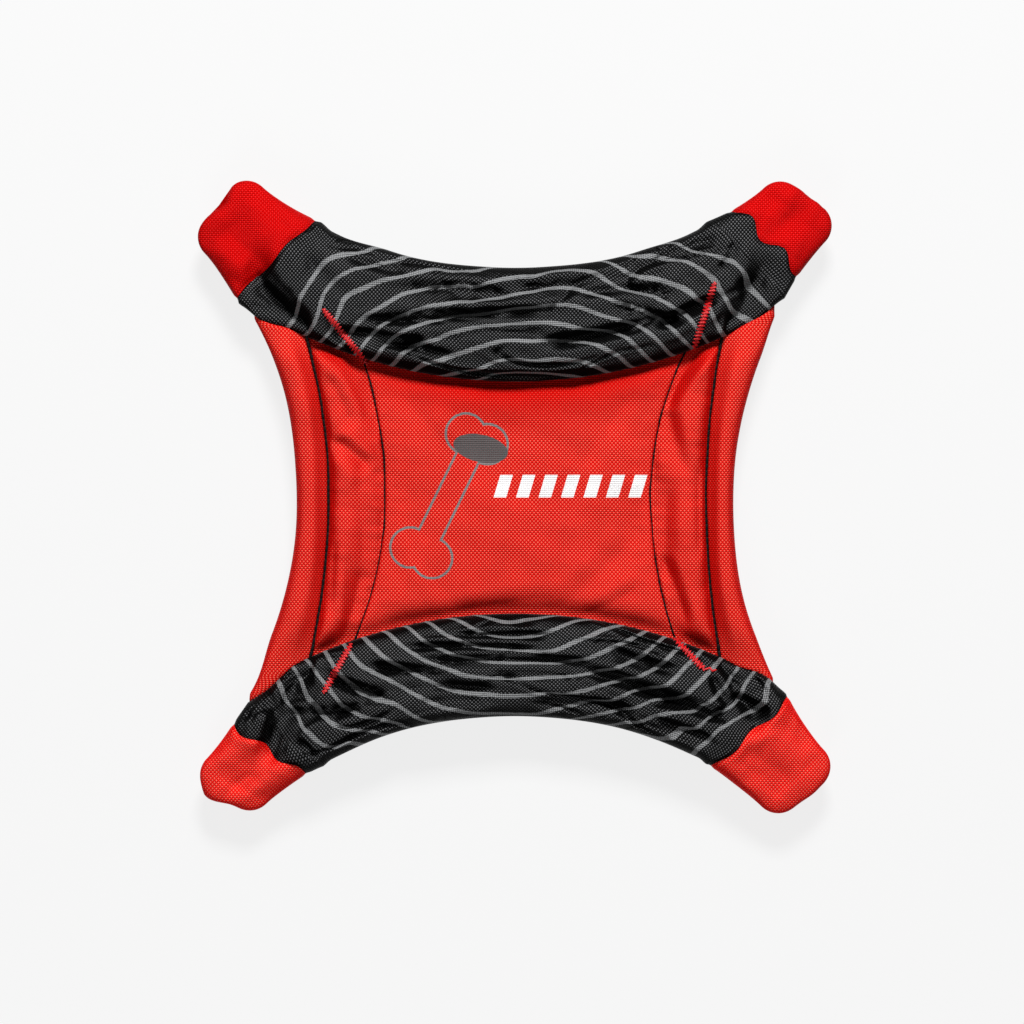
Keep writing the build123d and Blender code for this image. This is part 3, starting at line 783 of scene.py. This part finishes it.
def earRows(end, side, edge):
    # An ear goes on from the band's last section, edge, out along the diagonal, and narrows to the ear's
    # width and thickness. Over the last corner radius the width follows a quarter circle, and the thickness
    # falls to almost nothing.
    shape, ear = earShape, earShape["ears"][(end, side)]
    dx, dy = side / math.sqrt(2), end / math.sqrt(2)  # out along the diagonal
    ox, oy = side / math.sqrt(2), -end / math.sqrt(2)  # across it, towards the side
    c, s = roundSection(bandShape["around"], bandShape["full"])
    across0 = edge[:, 0] * ox + edge[:, 1] * oy
    radius, rows, cornerRows = shape["cornerRadius"], shape["rows"], shape["cornerRows"]
    start, straight = body["capReach"], ear["reach"] - radius
    atSeam = (ear["seam"] - start) / (straight - start)
    before = max(3, int(rows * atSeam * shape["rowsBefore"]))
    lane = np.concatenate([
        np.linspace(0, atSeam, before, endpoint=False), np.linspace(atSeam, 1, rows - before),
        np.ones(cornerRows),
    ])[:, None]
    corner = np.sin(np.linspace(0, pi / 2, cornerRows + 1)[1:]) * pi / 2
    bend = np.concatenate([np.zeros(rows), corner])[:, None]
    reach = start + (straight - start) * lane
    gone = np.abs(reach - ear["seam"])
    middle, half = (across0.max() + across0.min()) / 2, (across0.max() - across0.min()) / 2
    taper = 1 - (1 - lane) ** shape["taper"]
    dip = bandShape["seamDip"] * bell(gone, bandShape["seamWide"])
    width = (half + (ear["wide"] / 2 - half) * taper) * (1 - bandShape["seamPinch"] * dip)
    across = middle * (1 - taper) + ear["lean"] * taper + (width - radius * (1 - np.cos(bend))) * c
    thick0 = bandShape["thick"] / 2 * (1 - bandShape["thin"])
    thick = (thick0 + (shape["endThick"] / 2 - thick0) * lane ** shape["thinning"]) * (1 - dip)
    thick = thick * (shape["tip"] + (1 - shape["tip"]) * np.maximum(np.cos(bend), 0) ** shape["rounding"])
    z = body["midZ"] + thick * s
    reach = reach + radius * np.sin(bend) + seamPush(c, ear, gone)
    turn = ear["turn"] * c - ear["notch"] * bell(across, shape["notchWide"])
    reach = reach + smooth(lane, *shape["turnOver"]) * turn
    x, y = reach * dx + across * ox, reach * dy + across * oy
    z = pressIn(x, y, z, thick + 0 * z)
    near = bell((straight - start) * lane, shape["settle"])  # the first rows settle into the band's section
    x, y, z = (grid + near * (edge[None, :, k] - grid[:1, :]) for k, grid in enumerate((x, y, z)))
    run = -unroll(across, z, bandShape["around"] // 4)
    over = reach[:1] + walked(reach, z, 0)
    over = np.where(bend > 0, over - over[rows - 1:rows] + reach[rows - 1:rows], reach)
    uv = np.stack([over * dx + run * ox, over * dy + run * oy], -1)
    return np.stack([x, y, np.maximum(z, 0.0)], -1), uv, before


ends = {top: "top", bottom: "bottom"}
sides = {left: "left", right: "right"}
for end, label in ends.items():
    points, uv = bandRows(end)
    for side, sideLabel in sides.items():
        earPoints, earUv, seamRow = earRows(end, side, points[0 if side == left else -1])
        # the top caps get the shaded copy of the red and the bottom caps the lit copy: painted shade and
        # light
        capCloth = shadedCapCloth if end == top else litCapCloth
        capName = label + sideLabel.capitalize() + "Cap"
        cap = makePiece(capName, earPoints[seamRow:], earUv[seamRow:], capCloth)
        node = f"{label}_{sideLabel}"
        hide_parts(f"{node}_corner_cap", f"{node}_corner_foam", f"{node}_cap_seam_thread")
        if side == left:
            points = np.concatenate([earPoints[seamRow:0:-1], points])
            uv = np.concatenate([earUv[seamRow:0:-1], uv])
        else:
            points = np.concatenate([points, earPoints[1:seamRow + 1]])
            uv = np.concatenate([uv, earUv[1:seamRow + 1]])
    bandCloth = topBandCloth if end == top else bottomBandCloth
    band = makePiece(label + "Band", points, uv, bandCloth)
    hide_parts(f"{label}_band_cover", f"{label}_band_foam", f"{label}_band_seam_thread")
print("bands and caps made")


# ---- the panel and the edge tubes

seams = {  # where each seam crosses the middle, and the radii that it bends by above and below
    ("left", "outer"): {"x": -70.6, "up": 215.0, "down": 270.0},
    ("left", "inner"): {"x": -49.2, "up": 165.0, "down": 134.0},
    ("right", "inner"): {"x": 51.4, "up": 120.0, "down": 160.0},
    ("right", "outer"): {"x": 72.4, "up": 304.0, "down": 350.0},
}


def seamX(name, y):
    # x of a seam: an arc that leans outward above and below the middle
    seam = seams[name]
    bend = np.where(y > 0, seam["up"], seam["down"])
    return seam["x"] + math.copysign(1, seam["x"]) * (bend - np.sqrt(bend**2 - y**2))


def bandEdgeY(x, end, extra):
    # y of a band's edge towards the panel, moved by extra into the band
    radius = body["bandMid"] + bandShape["inner"][end] + lobeAt(x, end)
    return end * (body["bandAxis"] - np.sqrt(radius**2 - x**2) + extra)


panelShape = {
    "across": (34, 110, 34), "up": 150,  # grid: a channel, the centre and a channel
    "reach": 50,  # a first guess from the middle to every side, which the seams and band edges then correct
    "centreRise": 3.6, "centreFull": 3.4, "channelRise": 5.8, "channelFull": 0.8,
    "skew": 0.4,  # how far a channel is fullest beside its outer seam
    "seamLevel": 1.0, "least": 0.3,
    "sewn": 0.85, "sewnWide": 5.0,  # how much lower it is where a band is sewn on
    "tuck": 7.0,  # how far it runs into a band
    "pucker": 0.28, "puckerPitch": 5.2, "puckerDrawn": 0.35, "puckerReach": 5.0,
    "halfLane": (8.0, 50.0),  # half the width of a channel and of the centre, for the puckers
    "waves": ((0.55, 34.0), (0.25, 13.0)),  # height and size
    "wavesOver": (0.0, 0.12), "foldsOver": (0.0, 0.3),  # shares of a lane, from its seams
}


def panelGrid(front, seed):
    # Lanes between the seams, with more columns near them. The centre is a superellipse's height across. A
    # channel's height is 1 - out^2 to a power, where out is skewed towards the outer seam.
    shape = panelShape
    lanes = []
    for lane, count in enumerate(shape["across"]):
        q = np.sin(np.linspace(-1, 1, count, endpoint=(lane == 2)) * pi / 2)
        lanes.append(lane + (q + 1) / 2)
    u = np.concatenate(lanes)[:, None]
    v = np.linspace(-1, 1, shape["up"])[None, :]
    x, y = (u - 1.5) * shape["reach"] + 0 * v, shape["reach"] * v + 0 * u
    for _ in range(6):  # the seams depend on y and the bands' edges on x
        edges = [seamX(name, y) for name in seams]
        x = edges[2] + (edges[3] - edges[2]) * (u - 2)
        for k in (1, 0):
            x = np.where(u < k + 1, edges[k] + (edges[k + 1] - edges[k]) * (u - k), x)
        high, low = bandEdgeY(x, top, shape["tuck"]), bandEdgeY(x, bottom, shape["tuck"])
        y = low + (high - low) * (v + 1) / 2
    inLane = np.where(u >= 3, 1.0, u % 1.0 * 2 - 1)
    channel = (u < 1) | (u > 2)
    out = np.where(u < 1, -inLane, inLane) - shape["skew"] * (1 - inLane**2)
    full = shape["centreFull"]
    centre = shape["centreRise"] * (1 - np.abs(inLane) ** full) ** (1 / full)
    rise = np.where(channel, shape["channelRise"] * (1 - out**2) ** shape["channelFull"], centre)
    inner = np.minimum(bandEdgeY(x, top, 0) - y, y - bandEdgeY(x, bottom, 0))
    sewn = 1 - shape["sewn"] * bell(np.maximum(inner, 0), shape["sewnWide"])
    fromSeam = 1 - np.abs(inLane)
    gap = np.where(channel, *shape["halfLane"]) * fromSeam
    pucker = shape["pucker"] * np.exp(-gap / shape["puckerReach"])
    pucker = pucker * ripple(shape["puckerDrawn"] * x, y, shape["puckerPitch"], seed)
    slow = sum(high * ripple(x, y, size, seed + 1 + k) for k, (high, size) in enumerate(shape["waves"]))
    drag = foldDepth(x, y, panelFolds if front else []) * smooth(fromSeam, *shape["foldsOver"])
    uneven = (slow + pucker) * smooth(fromSeam, *shape["wavesOver"])
    height = (shape["seamLevel"] + rise) * sewn + uneven * sewn
    return x, y, np.maximum(height - drag, shape["least"])


panelFolds = [
    # centre
    (-20, -44, -44, -8, 2.0, 4.0, 0.45), (10, -46, 48, -12, -2.0, 4.6, 0.5), (-46, 40, -18, 8, 1.0, 4.2, 0.4),
    (48, 42, 22, 6, -1.5, 4.6, 0.45), (24, -46, 50, -32, -1.0, 3.0, 0.5), (-48, -30, -40, 22, 1.0, 3.4, 0.45),
    (47, -26, 45, 28, 1.5, 3.4, 0.45), (-30, -46, 20, -38, 1.5, 3.6, 0.35),
    # channels
    (-73, 48, -61, 24, 1.0, 3.2, 1.1), (-70, 22, -54, 9, 1.0, 3.0, 1.4), (-60, 12, -58, -40, 1.2, 3.6, 0.6),
    (-58, -26, -66, -56, 1.0, 3.0, 0.9), (-68, -14, -69, -52, -0.6, 2.4, 0.6),
    (72, 56, 55, 30, -1.5, 3.4, 1.2), (58, 34, 66, 6, -1.0, 3.4, 0.9), (58, 8, 58, -34, -1.0, 3.4, 0.6),
    (54, -20, 66, -52, 1.0, 3.0, 1.1), (69, 16, 69, -30, 0.6, 2.4, 0.6),
]


def padAround(x, y, height, front):
    # A closed pad: its crowned face, and a flat underside just off the middle plane, joined around the rim
    sign = 1 if front else -1
    face = np.stack([x, y, body["midZ"] + sign * height], -1)
    under = np.stack([x, y, np.full_like(x, body["midZ"] + sign * 0.05)], -1)
    return np.concatenate([face, under[:, ::-1], face[:, :1]], axis=1)


for front, name, node, inside in (
    (True, "frontPanel", "front_panel", ("centre_foam", "left_channel_foam", "right_channel_foam")),
    (False, "backPanel", "back_panel", ()),
):
    points = padAround(*panelGrid(front, 21 if front else 57), front)
    panel = makePiece(name, points, points[..., :2], printedRedCloth if front else redCloth)
    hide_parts(node, *inside)

tubeShape = {
    "along": 170, "around": 56, "from": -84, "to": 82, "thick": 12.4, "full": 2.1,
    # how far the rim comes in away from the middle, and where a tube goes under a band
    "rim": {(top, left): 0.9, (top, right): -0.4, (bottom, left): -0.6, (bottom, right): 0.6},
    "pull": {(top, left): -0.4, (top, right): 2.2, (bottom, left): 2.8, (bottom, right): 1.0},
    "rimOver": (8, 45), "pullOver": (52, 74),
    # the rim runs almost straight from there
    "stop": {(top, left): 67, (top, right): 68, (bottom, left): 75, (bottom, right): 69}, "straight": 0.85,
    "inLow": 0.6, "outHigh": 0.5, "shiftOver": (-50, 10),  # of the hollow side's circle
    "narrow": 0.6, "tipIn": 6.0, "tipOver": (0, 6),  # how a tip narrows and moves under a band
    "thinBefore": 0.42, "thinBeforeOver": (-15, 0), "thinUnder": 0.55, "thinUnderOver": (0, 2.5),
    "flat": 0.42, "flatOver": (0.0, 0.95),  # lower beside the seam
    "flatSway": (0.12, 55.0, 71), "wave": (0.25, 22.0, 31),  # height, size and seed
    "waveDrawn": 0.5,
}


def tubeGrid(side):
    # At each height a section lies between the hollow side's circle and the outer seam, a little fuller
    # than an ellipse and lower beside the seam. Each end is a tapered tip tucked in beside a band.
    shape = tubeShape
    y = np.linspace(shape["from"], shape["to"], shape["along"])[:, None]
    c, s = roundSection(shape["around"], shape["full"])
    stop = np.where(y > 0, shape["stop"][(top, side)], shape["stop"][(bottom, side)])
    rimY = np.abs(y) - shape["straight"] * np.maximum(np.abs(y) - stop, 0)
    shift = (shape["inLow"] + shape["outHigh"]) * smooth(y, *shape["shiftOver"]) - shape["inLow"]
    rim = side * (body["tubeAxis"] - np.sqrt(body["sideRadius"] ** 2 - rimY**2) + shift)
    for end in (top, bottom):
        for name in ("rim", "pull"):
            rim = rim - side * shape[name][(end, side)] * smooth(y * end, *shape[name + "Over"])
    seam = seamX((sides[side], "outer"), y)
    middle, half = (rim + seam) / 2, np.abs(rim - seam) / 2
    x = middle - side * half * c
    under = np.maximum(y - bandEdgeY(x, top, 0), bandEdgeY(x, bottom, 0) - y)
    tip = smooth(under, *shape["tipOver"])
    x = middle + (x - middle) * (1 - shape["narrow"] * tip) - side * shape["tipIn"] * tip
    thin = shape["thinBefore"] * smooth(under, *shape["thinBeforeOver"])
    thin = 1 - thin - shape["thinUnder"] * smooth(under, *shape["thinUnderOver"])
    swayHigh, swaySize, swaySeed = shape["flatSway"]
    sway = swayHigh * ripple(0 * x, y, swaySize, swaySeed + side)
    flat = 1 - shape["flat"] * smooth(c + sway, *shape["flatOver"])
    waveHigh, waveSize, waveSeed = shape["wave"]
    wave = waveHigh * ripple(shape["waveDrawn"] * x, y, waveSize, waveSeed + side)
    z = body["midZ"] + (shape["thick"] / 2 * thin * flat + wave) * s
    flatX = middle + side * unroll(x, z, shape["around"] // 4)
    return np.stack([x, y + 0 * x, z], -1), np.stack([flatX, y + 0 * x], -1)


for side, label in sides.items():
    points, uv = tubeGrid(side)
    tube = makePiece(label + "EdgeTube", points, uv, redCloth)
    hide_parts(f"{label}_edge_cover", f"{label}_edge_foam")
print("panel and edge tubes made")


# ---- stitches

def surfaceTree(names):
    verts, faces = [], []
    for name in names:
        mesh = bpy.data.objects[name].data
        start = len(verts)
        verts += [tuple(v.co) for v in mesh.vertices]
        faces += [tuple(start + i for i in p.vertices) for p in mesh.polygons]
    return BVHTree.FromPolygons(verts, faces)


def dropOn(tree, xy, front):
    # The surface's level under each plan point, in millimetres, seen from the front or from the back.
    sign = -1 if front else 1
    start = 0.1 if front else -0.1
    levels = []
    for x, y in xy:
        hit = tree.ray_cast(Vector((x * mm, y * mm, start)), Vector((0, 0, sign)))[0]
        levels.append(hit.z / mm if hit else body["midZ"])
    return np.array(levels)


stitchShape = {
    # outer: real black thread, drawn thick so that it also stands in for the groove's shade: painted shade
    "outer": {"length": 2.5, "thick": 1.3, "lift": 0.7},
    "inner": {"length": 2.4, "thick": 0.8, "lift": 0.22},
    "overlap": 1.16, "blunt": 0.4,  # a bead's length against its pitch, and how blunt its ends are
    "rings": 7, "spokes": 6,  # grid of one bead
    "from": -64, "to": 63, "points": 140, "clear": 0.8,  # a row, which ends just under a band
    "wander": ((0.12, 9.0, 3), (0.25, 26.0, 4)),  # height, size and seed
    "feel": 0.3,  # how far ahead and back a stitch looks for its way
}


def stitchRow(path, length, thick):
    # One long bead for each stitch, drawn out along the path, which is [n, xyz]: its length follows a
    # cosine, and its girth a sine to a small power.
    shape = stitchShape
    at = np.concatenate([[0], np.cumsum(np.linalg.norm(np.diff(path, axis=0), axis=1))])
    count = int(at[-1] // length)
    mids = (np.arange(count) + 0.5) * at[-1] / count
    back, here, ahead = (
        np.stack([np.interp(mids + shift, at, path[:, k]) for k in range(3)], -1)
        for shift in (-shape["feel"], 0.0, shape["feel"])
    )
    way = (ahead - back) * [1, 1, 0]
    way /= np.linalg.norm(way, axis=1)[:, None]
    across = np.stack([-way[:, 1], way[:, 0], np.zeros(count)], -1)
    up = np.array([0, 0, 1.0])
    ring = np.linspace(0, pi, shape["rings"])[None, :, None, None]
    turn = np.linspace(0, 2 * pi, shape["spokes"], endpoint=False)[None, None, :, None]
    lengthwise = -np.cos(ring) * way[:, None, None, :] * length * shape["overlap"] / 2
    girth = np.maximum(np.sin(ring), 0.0) ** shape["blunt"] * thick / 2
    spoke = np.cos(turn) * across[:, None, None, :] + np.sin(turn) * up
    return here[:, None, None, :] + lengthwise + girth * spoke


def beads(name, verts, material):
    # verts is [bead, ring, spoke, xyz]. The first and last ring of each bead are its poles.
    count, rings, spokes = verts.shape[:3]
    rows = rings - 2
    poles = np.stack([verts[:, 0].mean(1), verts[:, -1].mean(1)], 1)
    every = np.concatenate([verts[:, 1:-1].reshape(count, -1, 3), poles], axis=1)
    s = np.arange(spokes)
    after = (s + 1) % spokes
    r = np.arange(rows - 1)[:, None] * spokes
    quads = np.stack([r + s, r + after, r + spokes + after, r + spokes + s], -1).reshape(-1, 4)
    last = (rows - 1) * spokes
    tris = np.concatenate([np.stack([after, s, np.full(spokes, rows * spokes)], -1),
                           np.stack([last + s, last + after, np.full(spokes, rows * spokes + 1)], -1)])
    shift = (np.arange(count) * every.shape[1])[:, None, None]
    quads, tris = (quads[None] + shift).reshape(-1, 4), (tris[None] + shift).reshape(-1, 3)
    return addMesh(name, every.reshape(-1, 3), quads, tris, material)


panelTree = surfaceTree(["frontPanel", "backPanel"])
for sideLabel, kind in seams:
    look = stitchShape[kind]
    rows = []
    for front in (True, False):
        outward = 1 if front else -1
        y = np.linspace(stitchShape["from"], stitchShape["to"], stitchShape["points"])
        x = seamX((sideLabel, kind), y)
        clear = stitchShape["clear"]
        keep = (y < bandEdgeY(x, top, clear)) & (y > bandEdgeY(x, bottom, clear))
        x, y = x[keep], y[keep]
        x = x + sum(height * ripple(0 * y, y, size, seed) for height, size, seed in stitchShape["wander"])
        if kind == "outer":
            level = body["midZ"] + outward * (panelShape["seamLevel"] + look["lift"] + 0 * y)
        else:
            level = dropOn(panelTree, list(zip(x, y)), front) + outward * look["lift"]
        rows.append(np.stack([x, y, level], -1))
    both = np.concatenate([stitchRow(row, look["length"], look["thick"]) for row in rows])
    seam = beads(f"{sideLabel}{kind.capitalize()}Stitches", both, darkThread)
    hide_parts(f"{sideLabel}_{kind}_seam_thread")
print("seams stitched")


tacks = {  # from the panel's edge up over the band: start, end, and how far the last part hooks aside
    (top, left): {"start": (-56.0, 50.0), "end": (-72.4, 70.4), "hook": (0, 0)},
    (top, right): {"start": (67.6, 55.4), "end": (75.4, 80.6), "hook": (0, 0)},
    (bottom, left): {"start": (-61.8, -55.8), "end": (-72.2, -74.4), "hook": (0, 0)},
    (bottom, right): {"start": (60.4, -54.0), "end": (72.4, -66.6), "hook": (3.4, 0.6)},
}
tackShape = {
    "wide": 2.3, "stroke": 0.62, "thick": 0.75, "lift": 0.3, "bob": 0.12,
    "narrow": 0.5, "narrowOver": 2.0,  # share of the width lost at both ends
    "hookFrom": 0.86,
    "perStroke": 4, "spokes": 8,  # grid
}


def tackPiece(name, tack, tree):
    # A tube along a zigzag that lies on the band: the path swings from side to side once each two strokes.
    shape = tackShape
    (x0, y0), (x1, y1) = tack["start"], tack["end"]
    run = math.hypot(x1 - x0, y1 - y0)
    strokes = int(run / shape["stroke"])
    share = np.linspace(0, 1, strokes * shape["perStroke"] + 1)
    swing = 2 * np.abs((share * strokes) % 2 - 1) - 1
    ax, ay = (x1 - x0) / run, (y1 - y0) / run
    tips = bell(share * run, shape["narrowOver"]) + bell((1 - share) * run, shape["narrowOver"])
    wide = shape["wide"] / 2 * (1 - shape["narrow"] * tips)
    hook = smooth(share, shape["hookFrom"], 1.0)
    px = x0 + (x1 - x0) * share - ay * swing * wide + tack["hook"][0] * hook
    py = y0 + (y1 - y0) * share + ax * swing * wide + tack["hook"][1] * hook
    bob = shape["bob"] * np.sin(share * strokes * pi)
    level = dropOn(tree, list(zip(px, py)), True) + shape["lift"] + bob
    path = np.stack([px, py, level], -1)
    way = np.gradient(path, axis=0)
    way /= np.linalg.norm(way, axis=1)[:, None]
    across = np.cross(way, [0, 0, 1.0])
    across /= np.linalg.norm(across, axis=1)[:, None]
    up = np.cross(across, way)
    turn = np.linspace(0, 2 * pi, shape["spokes"], endpoint=False)[None, :, None]
    spoke = np.cos(turn) * across[:, None] + np.sin(turn) * up[:, None]
    tube = path[:, None] + shape["thick"] / 2 * spoke
    return beads(name, tube[None], redThread)


bandTree = surfaceTree(["topBand", "bottomBand", "frontPanel"])
for (end, side), tack in tacks.items():
    name = ends[end] + sides[side].capitalize() + "BarTack"
    piece = tackPiece(name, tack, bandTree)
    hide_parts(f"{ends[end]}_{sides[side]}_bar_tack")
print("bar tacks made")


# ---- floor, light and camera

floorLook = {
    "size": 6.0, "color": (0.8, 0.8, 0.8, 1), "rough": 0.9,
    "glow": 0.925, "glowShare": 0.88,  # for the camera's rays and mirrored ones, so shadows stay
}
roomLook = {"color": (1, 1, 1, 1), "strength": 0.14}
lamps = {
    "keySoftbox": {"place": (0.1, 1.3, 1.15), "size": (0.5, 0.36), "power": 48.0},
    "fillSoftbox": {"place": (-0.3, -1.4, 1.0), "size": (0.6, 0.6), "power": 7.0},
}
lampAim = (0, 0, 0.01)
view = {"place": (-0.00114, -0.0061, 1.5), "lens": 137.8, "sensor": 36.0, "clip": (0.01, 20.0)}

h = floorLook["size"] / 2
floorMesh = bpy.data.meshes.new("floor")
floorMesh.from_pydata([(-h, -h, 0.0), (h, -h, 0.0), (h, h, 0.0), (-h, h, 0.0)], [], [(0, 1, 2, 3)])
floor = bpy.data.objects.new("floor", floorMesh)
bpy.context.scene.collection.objects.link(floor)

floorMaterial, floorTree, floorShader, floorOut = newMaterial("paleFloor")
floorShader.inputs["Base Color"].default_value = floorLook["color"]
floorShader.inputs["Roughness"].default_value = floorLook["rough"]
floorShader.inputs["Specular IOR Level"].default_value = 0.0
glow = floorTree.nodes.new("ShaderNodeEmission")
glow.inputs["Strength"].default_value = floorLook["glow"]
blend = floorTree.nodes.new("ShaderNodeMixShader")
ray = floorTree.nodes.new("ShaderNodeLightPath")
seen = calc(floorTree, "MAXIMUM", ray.outputs["Is Camera Ray"], ray.outputs["Is Glossy Ray"])
floorTree.links.new(product(floorTree, seen, floorLook["glowShare"]), blend.inputs[0])
floorTree.links.new(floorShader.outputs[0], blend.inputs[1])
floorTree.links.new(glow.outputs[0], blend.inputs[2])
floorTree.links.new(blend.outputs[0], floorOut.inputs[0])
floorMesh.materials.append(floorMaterial)

world = bpy.data.worlds.new("paleRoom")
bpy.context.scene.world = world
world.use_nodes = True
world.node_tree.nodes["Background"].inputs["Color"].default_value = roomLook["color"]
world.node_tree.nodes["Background"].inputs["Strength"].default_value = roomLook["strength"]

for name, look in lamps.items():
    lamp = bpy.data.lights.new(name, "AREA")
    lamp.shape = "RECTANGLE"
    lamp.size, lamp.size_y = look["size"]
    lamp.energy = look["power"]
    box = bpy.data.objects.new(name, lamp)
    bpy.context.scene.collection.objects.link(box)
    box.location = look["place"]
    box.rotation_euler = (Vector(lampAim) - Vector(look["place"])).to_track_quat("-Z", "Y").to_euler()

cameraData = bpy.data.cameras.new("camera")
camera = bpy.data.objects.new("camera", cameraData)
bpy.context.scene.collection.objects.link(camera)
cameraData.sensor_width = view["sensor"]
cameraData.lens = view["lens"]
cameraData.clip_start, cameraData.clip_end = view["clip"]
camera.location = view["place"]  # straight above, looking down
bpy.context.scene.camera = camera
bpy.context.scene.view_settings.view_transform = "Standard"
print("light and camera set")
